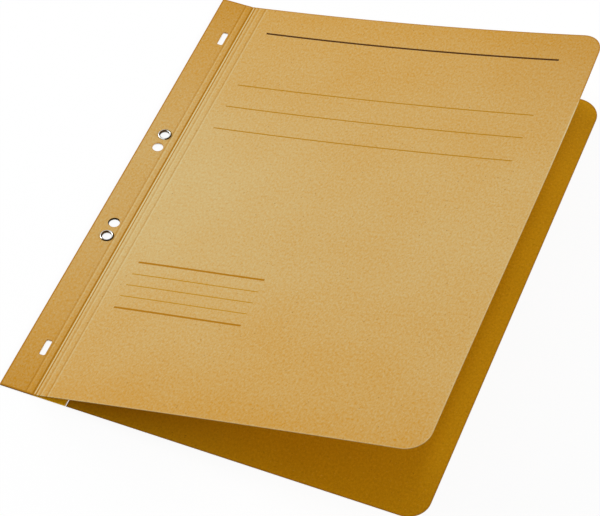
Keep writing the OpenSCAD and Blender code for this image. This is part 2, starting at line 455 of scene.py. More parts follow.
# Range of a noise that counts, and the scales of the card's noises with how far each sways its colour
NOISE_RANGE = (0.3, 0.7)
MOTTLE_SCALE = 26.0
MOTTLE_SWAY = 0.10
SPECKLE_SCALE = 760.0
SPECKLE_SWAY = 0.50
SPECKLE_STRETCH = (1.0, 0.75, 1.0)
FIBRE_SCALE = 1400.0
FIBRE_SWAY = 0.30
FIBRE_STRETCH = (1.0, 0.5, 1.0)

# Flecks: range of their noise and the shares at its ends. Specks: their spacing, size and shares.
FLECK_SCALE = 820.0
OCHRE_FLECKS = (0.62, 0.76, 0.0, 0.28)
PALE_FLECKS = (0.36, 0.24, 0.0, 0.16)
SPECK_SPACING = 7 * MM
SPECK_R = 0.30 * MM
SPECK_OUTER = 1.5 * SPECK_R / SPECK_SPACING
SPECK_INNER = 0.7 * SPECK_R / SPECK_SPACING
SPECK_FROM = 0.70
SPECK_SHARE = 0.60

# Surface of the card, the ink and the metal. A bump is its strength and depth.
CARD_ROUGH = (0.44, 0.58)
TOOTH_SPECKLE = 0.6
TOOTH_BUMP = (0.2, 0.03 * MM)
INK_SCALE = 900.0
INK_WEAR = 0.45
INK_RANGE = (0.42, 0.75)
INK_ROUGH = (0.55, 0.75)
INK_SPECULAR = 0.1
LINE_SCALE = 900.0
PATCH_SCALE = 260.0
PATCH_RANGE = (0.4, 0.7)
PATCH_DULL = 0.8
WORN_LINES = 0.6
WORN_PATCHES = 0.4
WORN_RANGE = (0.35, 0.65)
LINE_BUMP = (0.15, 0.02 * MM)

# Stain and patina of the metal, also used for painted shade and dark reflection on the eyelets
STAIN_AND_SHADE = (0.10, 0.055, 0.020)
PATINA_AND_DARK_REFLECTION = (0.012, 0.006, 0.001)
OCHRE = (0.42, 0.175, 0.001)
CREAM = (0.68, 0.63, 0.36)
DEEP_BROWN = (0.24, 0.09, 0.001)
FINE_GRAIN = 0.55


def sway(tree, value, amount):
    """Noise turned into a swing of about amount to either side of zero."""
    return remap(tree, value, *NOISE_RANGE, -amount, amount)


def specks(tree, place):
    """Share of dark specks: a small round one in some cells of a loose net over the sheet."""
    inputs = {"Vector": place, "Scale": 1 / SPECK_SPACING}
    cell = add_node(tree, "ShaderNodeTexVoronoi", inputs, voronoi_dimensions="2D").outputs
    chance = add_node(tree, "ShaderNodeSeparateColor", {"Color": cell["Color"]}).outputs["Red"]
    spot = remap(tree, cell["Distance"], SPECK_OUTER, SPECK_INNER)
    return calc(tree, "MULTIPLY", spot, remap(tree, chance, SPECK_FROM, 1.0, 0.0, SPECK_SHARE))


def card_material(name, shade, light, groove, ridge, specular, grain=1.0):
    """Matte board: speckled body colour, ochre and pale flecks, fibres, and a tone for crease lines and
    rims that is partly worn card and partly painted shade and highlight.
    """
    material, tree, shader = new_material(name)
    place = attribute(tree, "sheet", "Vector")
    mottle = noise(tree, place, MOTTLE_SCALE)
    speckle_place = stretched(tree, place, SPECKLE_STRETCH)
    speckle = noise(tree, speckle_place, SPECKLE_SCALE, detail=3.0, roughness=0.7)
    fibre = noise(tree, stretched(tree, place, FIBRE_STRETCH), FIBRE_SCALE, roughness=0.6)
    body = sway(tree, mottle, MOTTLE_SWAY * grain)
    body = calc(tree, "ADD", body, sway(tree, speckle, SPECKLE_SWAY * grain))
    body = calc(tree, "ADD", body, sway(tree, fibre, FIBRE_SWAY * grain))
    # Painted sheen, light and shade: an attribute of the sheet moves the colour toward the light end
    # where light is painted, and toward the shade end where shade is
    body = calc(tree, "ADD", body, attribute(tree, "painted_light", "Fac"), clamp=True)
    colour = mix_colour(tree, body, shade, light)
    flecks = noise(tree, place, FLECK_SCALE, detail=1.0)
    colour = mix_colour(tree, remap(tree, flecks, *OCHRE_FLECKS), colour, groove)
    colour = mix_colour(tree, remap(tree, flecks, *PALE_FLECKS), colour, ridge)
    colour = mix_colour(tree, specks(tree, place), colour, DEEP_BROWN)
    # Tone: toward the groove colour for worn card and painted shade, toward the ridge colour for painted
    # highlight
    tone = attribute(tree, "tone", "Fac")
    for sign, worn in ((1.0, ridge), (-1.0, groove)):
        share = calc(tree, "MULTIPLY", tone, sign, clamp=True)
        colour = mix_colour(tree, share, colour, worn)
    tree.links.new(colour, shader.inputs["Base Color"])
    tree.links.new(remap(tree, fibre, *NOISE_RANGE, *CARD_ROUGH), shader.inputs["Roughness"])
    tooth = calc(tree, "ADD", fibre, calc(tree, "MULTIPLY", speckle, TOOTH_SPECKLE))
    add_bump(tree, shader, tooth, *TOOTH_BUMP)
    shader.inputs["Specular IOR Level"].default_value = specular
    return material


def ink_material(name, colour, thin):
    """Printing ink on board, with the board showing through where the ink is thin."""
    material, tree, shader = new_material(name)
    place = attribute(tree, "sheet", "Vector")
    patchy = remap(tree, noise(tree, place, INK_SCALE), *INK_RANGE, 0.0, INK_WEAR)
    tree.links.new(mix_colour(tree, patchy, colour, thin), shader.inputs["Base Color"])
    tree.links.new(remap(tree, patchy, 0.0, INK_WEAR, *INK_ROUGH), shader.inputs["Roughness"])
    shader.inputs["Specular IOR Level"].default_value = INK_SPECULAR
    return material


def metal_material(name, colour, grain, rough_low, rough_high):
    """Plated metal with grain lines and dull patches. Tone darkens it: brown at 1, nearly black at 2, as
    stain and patina, and on the eyelets as painted shade and dark reflection.
    """
    material, tree, shader = new_material(name)
    place = add_node(tree, "ShaderNodeTexCoord").outputs["Object"]
    lines = noise(tree, stretched(tree, place, grain), LINE_SCALE, detail=3.0, roughness=0.6)
    patches = noise(tree, place, PATCH_SCALE)
    dull = tuple(channel * PATCH_DULL for channel in colour)
    plate = mix_colour(tree, remap(tree, patches, *PATCH_RANGE), colour, dull)
    tone = attribute(tree, "tone", "Fac")
    stain = mix_colour(tree, calc(tree, "SUBTRACT", tone, 1.0, clamp=True), STAIN_AND_SHADE, PATINA_AND_DARK_REFLECTION)
    tree.links.new(mix_colour(tree, tone, plate, stain), shader.inputs["Base Color"])
    tree.links.new(mix_colour(tree, tone, WHITE, stain), shader.inputs["Specular Tint"])
    worn_lines = calc(tree, "MULTIPLY", lines, WORN_LINES)
    worn = calc(tree, "ADD", worn_lines, calc(tree, "MULTIPLY", patches, WORN_PATCHES))
    tree.links.new(remap(tree, worn, *WORN_RANGE, rough_low, rough_high), shader.inputs["Roughness"])
    add_bump(tree, shader, lines, *LINE_BUMP)
    shader.inputs["Metallic"].default_value = 1.0
    return material


MANILA = card_material(
    "manila_face", (0.574, 0.254, 0.001), (0.638, 0.476, 0.209), OCHRE, CREAM, 0.12, FINE_GRAIN
)
# Painted shade: the manila board made deeper and more golden, as it looks in shade and bounce light, for
# the inner faces
SHADED_MANILA = card_material(
    "shaded_manila_face", (0.46, 0.205, 0.001), (0.66, 0.335, 0.006), DEEP_BROWN, (0.80, 0.50, 0.10), 0.05,
    FINE_GRAIN
)
# The liner's card, paler than the back sheet, with painted light: the golden of bounce light, and
# brighter to make up for the cover's shade
LINING = card_material(
    "lining_face", (0.92, 0.500, 0.003), (0.98, 0.580, 0.010), DEEP_BROWN, (0.95, 0.66, 0.14), 0.05
)
# Painted shade: the card's cut edges, dark brown as they look in shade
SHADED_CUT_EDGE = card_material(
    "shaded_cut_edge", (0.24, 0.110, 0.003), (0.36, 0.180, 0.010), DEEP_BROWN, CREAM, 0.1
)
# Painted light: walls of the holes and slots, pale beige as if lit
LIT_HOLE_WALL = card_material(
    "lit_hole_wall", (0.78, 0.700, 0.560), (0.88, 0.830, 0.730), OCHRE, CREAM, 0.1
)
# Painted shadow: the near-black walls of the lower plain hole and the crescent round it
SHADOW_WALL = card_material(
    "painted_shadow_wall", (0.006, 0.003, 0.001), (0.020, 0.010, 0.002), PATINA_AND_DARK_REFLECTION, OCHRE, 0.02
)
TORN_EDGE = card_material(
    "torn_edge", (0.92, 0.780, 0.400), (0.98, 0.860, 0.520), CREAM, (0.95, 0.94, 0.90), 0.1
)
DARK_INK = ink_material("dark_ink", (0.060, 0.020, 0.001), (0.10, 0.036, 0.002))
BROWN_INK = ink_material("brown_ink", (0.420, 0.175, 0.001), (0.46, 0.210, 0.003))
OCHRE_INK = ink_material("ochre_ink", (0.500, 0.240, 0.001), (0.55, 0.290, 0.006))
WRITING_INK = ink_material("writing_ink", (0.450, 0.210, 0.001), (0.50, 0.250, 0.003))
NICKEL = metal_material("eyelet_nickel", (0.70, 0.70, 0.67), (1.0, 1.0, 0.3), 0.24, 0.40)
TIN_PLATE = metal_material("fastener_tin", (0.66, 0.66, 0.64), (1.0, 0.05, 1.0), 0.26, 0.42)
SLIDER_TIN = metal_material("slider_tin", (0.72, 0.72, 0.71), (1.0, 0.08, 1.0), 0.22, 0.38)


# Meshes

def new_mesh(name, vertices, faces, materials, sharp=None):
    """Mesh with its materials, shaded smooth except at edges over the angle sharp."""
    mesh = bpy.data.meshes.new(name)
    mesh.from_pydata(vertices, [], faces)
    for material in materials:
        mesh.materials.append(material)
    if sharp is not None:
        mesh.shade_smooth()
        mesh.set_sharp_from_angle(angle=sharp)
    return mesh


def write_values(mesh, name, values):
    mesh.attributes.new(name, "FLOAT", "POINT").data.foreach_set("value", values)


def write_attributes(mesh, places, tones):
    sheet = mesh.attributes.new("sheet", "FLOAT_VECTOR", "POINT")
    sheet.data.foreach_set("vector", [value for place in places for value in place])
    write_values(mesh, "tone", tones)


def link(name, data):
    made = bpy.data.objects.new(name, data)
    bpy.context.scene.collection.objects.link(made)
    return made


def bend(piece):
    """Bake a piece's place into its mesh."""
    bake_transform(piece)


# Outlines and plans of sheets

def arc(centre, radius, start, end, steps):
    return [
        Vector((centre[0] + radius * math.cos(angle), centre[1] + radius * math.sin(angle)))
        for angle in spread(start, end, steps + 1)
    ]


def ring(centre, radius, steps=48):
    return arc(centre, radius, 0.0, 2 * math.pi, steps)[:-1]


def slot_ring(centre, width, length, corner, steps=7):
    """Outline of a slot along y with rounded corners."""
    reach_x, reach_y = width / 2 - corner, length / 2 - corner
    points = []
    for i, (side_x, side_y) in enumerate(((1, 1), (-1, 1), (-1, -1), (1, -1))):
        place = (centre[0] + side_x * reach_x, centre[1] + side_y * reach_y)
        points += arc(place, corner, i * QUARTER, (i + 1) * QUARTER, steps)
    return points


def card_outline(first_u, bottom_u, top_u, radius, inset=0.0):
    """Outline from first_u to a fore-edge that may slant, with round corners there."""
    low, high = -HALF_H + inset, HALF_H - inset
    bottom_u, top_u, radius = bottom_u - inset, top_u - inset, radius - inset
    points = [Vector((first_u + inset, high)), Vector((first_u + inset, low))]
    if radius <= 0:
        return points + [Vector((bottom_u, low)), Vector((top_u, high))]
    points += arc((bottom_u - radius, low + radius), radius, -QUARTER, 0.0, CORNER_STEPS)
    points += arc((top_u - radius, high - radius), radius, 0.0, QUARTER, CORNER_STEPS)
    return points


def rims(first_u, bottom_u, top_u, radius):
    """Guides for a sheet's rim, one and two rim widths in from its outline."""
    return [card_outline(first_u, bottom_u, top_u, radius, step * RIM_W) for step in (1, 2)]


def strip_holes(inset=0.0):
    """Loops of every hole in the filing strip, grown by inset."""
    loops = [ring(centre, BARREL_R + EYELET_FIT + inset) for centre in EYELETS]
    loops += [ring(centre, PLAIN_R + inset) for centre in PLAIN_HOLES]
    for centre in SLOTS:
        loops.append(slot_ring(centre, SLOT_W + 2 * inset, SLOT_L + 2 * inset, SLOT_CORNER + inset))
    return loops


def end_notches():
    """Short slits in the back sheet, from either end along the liner's inner edge."""
    return [
        slot_ring((LINER_W + NOTCH_W / 2, side * HALF_H), NOTCH_W, 2 * NOTCH_L, NOTCH_ROUND * NOTCH_W)
        for side in (-1, 1)
    ]


def prong_slits():
    """Slits through which the fastener's prongs rise."""
    half_w, half_t = PRONG_W / 2 + PRONG_FIT, TONGUE_T / 2 + PRONG_FIT
    corners = ((-half_w, -half_t), (half_w, -half_t), (half_w, half_t), (-half_w, half_t))
    return [
        [Vector((FASTENER_U + x, side * PRONG_Y + y)) for x, y in corners] for side in (-1, 1)
    ]


def crease_columns(places):
    """Columns close together across each crease."""
    columns = sorted(place + step * MM for place in places for step in CREASE_STEPS)
    spaced = columns[:1]
    for u in columns[1:]:
        if u - spaced[-1] > COLUMN_GAP:
            spaced.append(u)
    return spaced


def inside(point, loop):
    """Whether a point lies in a closed loop, by counting the edges it is left of."""
    found = False
    for a, b in zip(loop, loop[1:] + loop[:1]):
        if (a.y > point.y) != (b.y > point.y):
            if point.x < lerp(a.x, b.x, (point.y - a.y) / (b.y - a.y)):
                found = not found
    return found


def triangulate(outline, holes, guides, columns, rows):
    """Triangles of a flat sheet with holes, whose edges follow the guides, columns and rows."""
    points, edges = [], []

    def add_path(path, closed):
        first = len(points)
        points.extend(path)
        edges.extend((first + i, first + i + 1) for i in range(len(path) - 1))
        if closed:
            edges.append((first + len(path) - 1, first))

    for loop in (outline, *holes, *guides):
        add_path(loop, True)
    low_u, high_u = min(p.x for p in outline), max(p.x for p in outline)
    for u in columns:
        add_path([Vector((u, -HALF_H)), Vector((u, HALF_H))], False)
    for y in rows:
        add_path([Vector((low_u, y)), Vector((high_u, y))], False)
    scaled = [point / MM for point in points]
    flat, _, faces, *_ = delaunay_2d_cdt(scaled, edges, [], 0, CUT_EPSILON)
    flat = [point * MM for point in flat]
    kept = []
    for face in faces:
        middle = sum((flat[i] for i in face), Vector((0.0, 0.0))) / 3
        if inside(middle, outline) and not any(inside(middle, hole) for hole in holes):
            kept.append(face)
    return flat, kept


# Wear and fading of sheets

def groove_depth(u):
    """Depth of the creases' grooves at u, less the low ridge beside each."""
    depth = 0.0
    for place, deep, _, _ in CREASES:
        depth += deep * bell(u - place, GROOVE_W)
        depth -= deep * RIDGE_SHARE * bell(u - place - RIDGE_OFFSET, RIDGE_W)
    return depth


def crease_tone(u, y):
    """Tone along the creases: dark in the grooves, worn card with painted shade, most at their ends, and
    a painted highlight on the ridges.
    """
    tone = 0.0
    gain = 1 + CREASE_END_GAIN * bell(from_end(y), CREASE_END_W)
    for place, _, dark, pale in CREASES:
        tone -= gain * dark * bell(u - place, GROOVE_W)
        tone += pale * bell(u - place - RIDGE_OFFSET, RIDGE_W)
    return tone


def on_cover(u):
    """0 on the filing strip, rising to 1 just past the fold."""
    return smooth((u - FOLD_U) / COVER_RISE)


def beside_fold(u):
    """Whether u lies between the fold and the liner's inner edge, where the liner's ends show."""
    return FOLD_U < u < LINER_W


def painted_sheen(u, y):
    """Painted sheen: the front sheet is paler most over its middle near the fold, least at the strip's
    ends.
    """
    share = on_cover(u)
    near_end = SHEEN_END_LOSS * bell(from_end(y), SHEEN_END_W)
    base = lerp(SHEEN_STRIP_BASE, SHEEN_COVER_BASE, share) * (1 - near_end)
    cover_swell = lerp(SHEEN_FORE_SWELL, SHEEN_FOLD_SWELL, bell(u - SHEEN_U, SHEEN_W))
    swell = lerp(SHEEN_STRIP_SWELL, cover_swell, share)
    middle = lerp(SHEEN_STRIP_Y, SHEEN_COVER_Y, share)
    return base + swell * bell(y - middle, lerp(SHEEN_STRIP_H, SHEEN_COVER_H, share))


def painted_back_light(u, y):
    """Painted light on the back sheet: most along the fore-edge, which the cover leaves bare to the
    light.
    """
    base = lerp(BACK_LIGHT_SPINE, BACK_LIGHT_COVER, smooth((u - BACK_LIGHT_FROM) / BACK_LIGHT_SPAN))
    bare = BACK_LIGHT_BARE * smooth((u - BACK_W + BACK_LIGHT_BARE_W) / BACK_LIGHT_BARE_SPAN)
    low = smooth((HALF_H + y) / BACK_LIGHT_BARE_LOW)
    high = lerp(BACK_LIGHT_BARE_TOP, 1.0, smooth((HALF_H - y) / BACK_LIGHT_BARE_HIGH))
    return base + bare * low * high


def card_darkening(u, y):
    """Darker card at the upper fore corner and on the strip, most at its ends."""
    corner = Vector((FOLD_U + COVER_W_TOP - u, HALF_H - y)).length
    strip = DARKEN_STRIP + DARKEN_END * bell(from_end(y), DARKEN_END_W)
    return DARKEN_CORNER * bell(corner, DARKEN_CORNER_W) + strip * (1 - on_cover(u))


def near_ends(u, y):
    """Distance from the filing edge and both ends."""
    return min(u, from_end(y))


def near_fore(u, y, bottom_u, top_u):
    """Distance from the fore-edge, its round corners and both ends."""
    fore_u = lerp(bottom_u, top_u, up_share(y))
    corner = Vector((fore_u - CORNER_R, math.copysign(HALF_H - CORNER_R, y)))
    out = Vector((u, y)) - corner
    if out.x > 0 and out.y * corner.y > 0:
        return CORNER_R - out.length
    return min(fore_u - u, from_end(y))


def rim_share(near):
    """Share of a rim's painted tone: 1 on the outline, falling to 0 on the second guide."""
    return max(1 - near / (2 * RIM_W), 0.0)


def cover_rim(u, y, near):
    """Tone at a distance from the edge: a painted highlight along the bottom and the fore-edge, more so
    further up, and darker round the upper fore corner and along the top, with painted shade on the filing
    strip's side of the fold."""
    pale = lerp(RIM_PALE_LOW, RIM_PALE_HIGH, smooth((up_share(y) - RIM_PALE_FROM) / RIM_PALE_SPAN))
    cover = lerp(pale, RIM_TOP, smooth((y - HALF_H + RIM_TOP_FROM) / RIM_TOP_SPAN))
    return lerp(RIM_DARK, cover, smooth((u - FOLD_U) / RIM_FADE)) * rim_share(near)


# Sheets

def wall_slot(point):
    """Slot of a wall: of the outline, a hole, the hole with painted shadow, or the ends and slits beside
    the fold.
    """
    end = from_end(point.y)
    in_slit = end < NOTCH_L + RIM_W and LINER_W - RIM_W < point.x < NOTCH_EDGE_U + RIM_W
    if in_slit or (end < RIM_W and beside_fold(point.x)):
        return SLIT_SLOT
    if end < RIM_W or not RIM_W < point.x < CREASE_U:
        return OUTLINE_SLOT
    return SHADOW_WALL_SLOT if (point - SHADOWED_HOLE).length < PLAIN_R + RIM_W else HOLE_SLOT


def make_sheet(name, plan, upper, lower, tone, layer, materials, special=None, painted_light=even(EVEN_PAINTED_LIGHT)):
    """Closed sheet from a flat plan. materials: one for each slot. special: picks the special faces."""
    flat, triangles = plan
    used = sorted({i for face in triangles for i in face})
    index = {old: new for new, old in enumerate(used)}
    count = len(used)
    points = [flat[i] for i in used]
    vertices = [upper(p.x, p.y) for p in points] + [lower(p.x, p.y) for p in points]
    faces, slots, edges = [], [], []
    for face in triangles:
        a, b, c = (index[i] for i in face)
        middle = (points[a] + points[b] + points[c]) / 3
        faces += [(a, b, c), (c + count, b + count, a + count)]
        slots += [SPECIAL_SLOT if special and special(middle) else UPPER_SLOT, LOWER_SLOT]
        edges += [(a, b), (b, c), (c, a)]
    known = set(edges)
    for a, b in edges:
        if (b, a) not in known:
            faces.append((b, a, a + count, b + count))
            slots.append(wall_slot((points[a] + points[b]) / 2))
    mesh = new_mesh(name, vertices, faces, materials, SHEET_SHARP)
    mesh.polygons.foreach_set("material_index", slots)
    places = [(p.x, p.y, layer) for p in points] + [(p.x, p.y, layer + UNDERSIDE) for p in points]
    tones = [tone(p.x, p.y) for p in points]
    write_attributes(mesh, places, tones + [UNDER_WEAR_AND_SHADE * value for value in tones])
    # The attribute that carries painted sheen, light and shade
    write_values(mesh, "painted_light", [painted_light(p.x, p.y) for p in points] * 2)
    return link(name, mesh)


def sheet_x(u, y):
    """Place of a sheet's point across the folder, with the bow of the filing edge."""
    bow = EDGE_BOW * bell(y - EDGE_BOW_Y, EDGE_BOW_H)
    return EDGE_X + u + bow * max(1 - u / EDGE_BOW_W, 0.0)


def flat_face(z):
    return lambda u, y: Vector((sheet_x(u, y), y, z))


def make_back_sheet():
    outline = card_outline(0.0, BACK_W, BACK_W, CORNER_R)
    guides = rims(0.0, BACK_W, BACK_W, CORNER_R) + strip_holes(RIM_W)
    beside_slits = [NOTCH_EDGE_U + step * RIM_W for step in (0, 1, 2)]
    columns = crease_columns([CREASE_U]) + [FOLD_U] + beside_slits + BACK_COLUMNS + BARE_COLUMNS
    plan = triangulate(outline, strip_holes() + end_notches(), guides, columns, BACK_ROWS)

    def tone(u, y):
        # Painted shade along the rims, but not beside the fold
        rim = 0.0 if beside_fold(u) else rim_share(min(u, near_fore(u, y, BACK_W, BACK_W)))
        crease = BACK_CREASE_WEAR_AND_SHADE * crease_tone(u, y) * (u < BAND_SEAM_U)
        # Painted shadow along the slits' outer edge, near the ends
        beside = NOTCH_SHADOW * rim_share(abs(u - NOTCH_EDGE_U)) * smooth(2 - from_end(y) / NOTCH_L)
        return crease - BACK_RIM_SHADE * rim - beside

    low = BACK_Z + LAYER_GAP
    upper, lower = flat_face(low + SHEET_T), flat_face(low)
    materials = [SHADED_MANILA, MANILA, SHADED_CUT_EDGE, LIT_HOLE_WALL, SHADOW_WALL, LINING]
    piece = make_sheet("back_sheet", plan, upper, lower, tone, BACK_LAYER, materials, painted_light=painted_back_light)
    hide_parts("strip_back_layer", "back_cover")
    bend(piece)


def make_liner_sheet():
    outline = card_outline(0.0, LINER_W, LINER_W, 0.0)
    guides = rims(0.0, LINER_W, LINER_W, 0.0) + strip_holes(RIM_W)
    columns = crease_columns([CREASE_U]) + [FOLD_U, LINER_W - TORN_W, LINER_W - TORN_W / 2]
    plan = triangulate(outline, strip_holes() + prong_slits(), guides, columns, BACK_ROWS)
    low = LINER_Z + LAYER_GAP

    def upper(u, y):
        slope = smooth((u - LINER_W + TORN_W) / TORN_W)
        return Vector((sheet_x(u, y), y, low + SHEET_T * (1 - TORN_DROP * slope)))

    def tone(u, y):
        # Painted shade along the liner's rims, but not beside the fold
        return 0.0 if beside_fold(u) else -LINER_RIM_SHADE * rim_share(near_ends(u, y))

    def torn(middle):
        return middle.x > LINER_W - TORN_W

    materials = [LINING, LINING, SHADED_CUT_EDGE, LIT_HOLE_WALL, SHADOW_WALL, LINING, TORN_EDGE]
    piece = make_sheet("liner_sheet", plan, upper, flat_face(low), tone, LINER_LAYER, materials, torn)
    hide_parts("strip_liner_layer", "liner")
    bend(piece)


# Front sheet

def front_slopes(y):
    """Slopes of the warped cover at the fold and at the fore-edge."""
    up = up_share(y)
    first = lerp(SLOPE_FOLD_BOTTOM, SLOPE_FOLD_TOP, up)
    last = lerp(SLOPE_FORE_BOTTOM, SLOPE_FORE_TOP, up) - FORE_SAG * math.sin(math.pi * up * up)
    return first, last


def dish(along, y):
    """Depth of the shallow dish in the cover's lower part."""
    across = (along - DISH_START) / (COVER_W_TOP - DISH_START)
    up = up_share(y) / DISH_SHARE
    if min(across, up) < 0 or max(across, up) > 1:
        return 0.0
    return DISH_DEPTH * (math.sin(math.pi * across) * math.sin(math.pi * up)) ** 2


def front_point(u, y, depth):
    """Point of the front sheet, depth below its upper face. Past the fold, reach is an arc's chord."""
    along = u - FOLD_U
    first, last = front_slopes(y)
    bent = smooth((along + BEND_HALF) / (2 * BEND_HALF))
    if along <= 0:
        place = Vector((sheet_x(u, y), y, FRONT_TOP))
        slope = bent * first
    else:
        turn = (last - first) * along / COVER_W_TOP
        middle = first + turn / 2
        reach = along * (1 - turn * turn / 24)
        place = Vector((FOLD_AXIS.x + reach * math.cos(middle), y, FRONT_TOP + reach * math.sin(middle)))
        slope = bent * (first + turn)
    return place - (depth + dish(along, y)) * Vector((-math.sin(slope), 0.0, math.cos(slope)))


def front_face(depth):
    return lambda u, y: front_point(u, y, depth + groove_depth(u))


def front_piece(name, plan, rim, special=None):
    """Piece of the front sheet. rim: painted edge tone that its edges add to that of the creases and the
    darkening.
    """

    def tone(u, y):
        return rim(u, y) + crease_tone(u, y) - card_darkening(u, y)

    upper, lower = front_face(LAYER_GAP), front_face(LAYER_GAP + SHEET_T)
    materials = [MANILA, SHADED_MANILA, SHADED_CUT_EDGE, LIT_HOLE_WALL, SHADOW_WALL, SHADED_CUT_EDGE, SHADOW_WALL]
    return make_sheet(name, plan, upper, lower, tone, FRONT_LAYER, materials, special, painted_sheen)


def make_strip_face():
    outline = card_outline(0.0, BAND_SEAM_U, BAND_SEAM_U, 0.0)
    guides = rims(0.0, 2 * BAND_SEAM_U, 2 * BAND_SEAM_U, 0.0) + strip_holes(RIM_W)
    guides.append(ring(SHADOWED_HOLE, PLAIN_R + SHADOW_RIM))
    columns = [u for u in crease_columns([CREASE_U]) if u < BAND_SEAM_U]
    plan = triangulate(outline, strip_holes(), guides, columns, FRONT_ROWS)

    hole_rims = strip_holes(RIM_W / 2)[len(EYELETS):]

    def rim(u, y):
        """Painted shade along the edges, and less of it right at the cut of the plain holes and slots."""
        at_cut = any(inside(Vector((u, y)), loop) for loop in hole_rims)
        return RIM_DARK * max(rim_share(near_ends(u, y)), HOLE_EDGE_SHADE * at_cut)

    # Painted shadow: faces of the crescent round the lower plain hole
    def shadowed(middle):
        out = middle - SHADOWED_HOLE
        facing = out.normalized().dot(SHADOW_SIDE)
        return out.length < PLAIN_R + SHADOW_RIM and facing > SHADOW_SPREAD

    piece = front_piece("strip_face", plan, rim, shadowed)
    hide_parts("strip_front_layer")
    bend(piece)


def make_fold_face():
    outline = card_outline(BAND_SEAM_U, HINGE_SEAM_U, HINGE_SEAM_U, 0.0)
    guides = rims(0.0, 2 * HINGE_SEAM_U, 2 * HINGE_SEAM_U, 0.0)
    columns = [u for u in crease_columns(CREASE_PLACES) if BAND_SEAM_U < u < HINGE_SEAM_U]
    plan = triangulate(outline, [], guides, columns, FRONT_ROWS)

    def rim(u, y):
        return cover_rim(u, y, from_end(y))

    piece = front_piece("fold_face", plan, rim)
    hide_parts("spine_band", "hinge_panel")
    bend(piece)


def make_cover_sheet():
    bottom_u, top_u = FOLD_U + COVER_W_BOTTOM, FOLD_U + COVER_W_TOP
    outline = card_outline(HINGE_SEAM_U, bottom_u, top_u, CORNER_R)
    guides = rims(0.0, bottom_u, top_u, CORNER_R)
    columns = [u for u in crease_columns(CREASE_PLACES) if u > HINGE_SEAM_U] + COVER_COLUMNS
    plan = triangulate(outline, [], guides, columns, FRONT_ROWS)

    def rim(u, y):
        return cover_rim(u, y, near_fore(u, y, bottom_u, top_u))

    piece = front_piece("cover_sheet", plan, rim)
    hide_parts("front_cover")
    bend(piece)


# Printed rules

def rule_points(start, end, sag):
    """Points along a rule, in the sheet's coordinates."""
    first = Vector((FOLD_U + start[0] * MM, start[1] * MM - HALF_H))
    last = Vector((FOLD_U + end[0] * MM, end[1] * MM - HALF_H))
    steps = 2 + int((last - first).length / RULE_STEP)
    drop = Vector((0.0, 4 * sag * MM))
    return [first.lerp(last, t) - drop * t * (1 - t) for t in spread(0.0, 1.0, steps + 1)]


def make_rules(name, rules, width, material):
    """Thin closed ribbons of ink that follow the cover. rules: start, end and sag of each."""
    corners = ((-1, 0.0), (1, 0.0), (1, LAYER_GAP + INK_T), (-1, LAYER_GAP + INK_T))
    count = len(corners)
    vertices, faces, places = [], [], []
    for rule in rules:
        first = len(vertices)
        points = rule_points(*rule)
        for point in points:
            for side, depth in corners:
                y = point.y + side * width / 2
                vertices.append(front_point(point.x, y, LAYER_GAP - INK_T + depth))
                places.append((point.x, y, FRONT_LAYER))
        last = len(vertices) - count
        for a in range(first, last, count):
            for j in range(count):
                k = (j + 1) % count
                faces.append((a + j, a + count + j, a + count + k, a + k))
        faces.append(tuple(range(first, first + count)))
        faces.append(tuple(range(last + count - 1, last - 1, -1)))
    mesh = new_mesh(name, vertices, faces, [material])
    write_attributes(mesh, places, [0.0] * len(vertices))
    piece = link(name, mesh)
    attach(piece, "cover")


def make_printed_rules():
    make_rules("title_rule", [TITLE_RULE], TITLE_WIDTH, DARK_INK)
    make_rules("writing_rules", WRITING_RULES, WRITING_WIDTH, WRITING_INK)
    make_rules("label_outer_rules", [LABEL_RULES[0], LABEL_RULES[-1]], LABEL_WIDTH, BROWN_INK)
    make_rules("label_inner_rules", LABEL_RULES[1:-1], THIN_WIDTH, OCHRE_INK)


# Eyelets

def revolve(name, profile, centre, material, steps=64):
    """Closed ring from (radius, height, tone) points round an upright axis. A tone takes the angle."""
    count = len(profile)
    vertices, faces, tones = [], [], []
    for i in range(steps):
        angle = 2 * math.pi * i / steps
        for radius, z, tone in profile:
            vertices.append((centre.x + radius * math.cos(angle), centre.y + radius * math.sin(angle), z))
            tones.append(tone(angle))
        here, there = i * count, (i + 1) % steps * count
        for j in range(count):
            k = (j + 1) % count
            faces.append((here + j, there + j, there + k, here + k))
    mesh = new_mesh(name, vertices, faces, [material], RING_SHARP)
    write_attributes(mesh, vertices, tones)
    return link(name, mesh)


def rim_tone(angle, outer_side):
    """Dark tone at an angle of the rim's profile: painted dark reflection and shade on flanks that face
    one side, and patina with painted contact shade in the crevices.
    """
    crevice = smooth((abs(math.cos(angle)) - CREVICE_FROM) / (1 - CREVICE_FROM))
    outer = math.cos(angle) > 0
    side, most = (outer_side, OUTER_PATINA_AND_DARK_REFLECTION) if outer else (INNER_SHADE_SIDE, INNER_PATINA_AND_SHADE)

    def tone(around):
        facing = math.cos(angle) * math.cos(around - side)
        return most * max(crevice, smooth((facing - PAINTED_DARK_FROM) / (PAINTED_DARK_FULL - PAINTED_DARK_FROM)))

    return tone


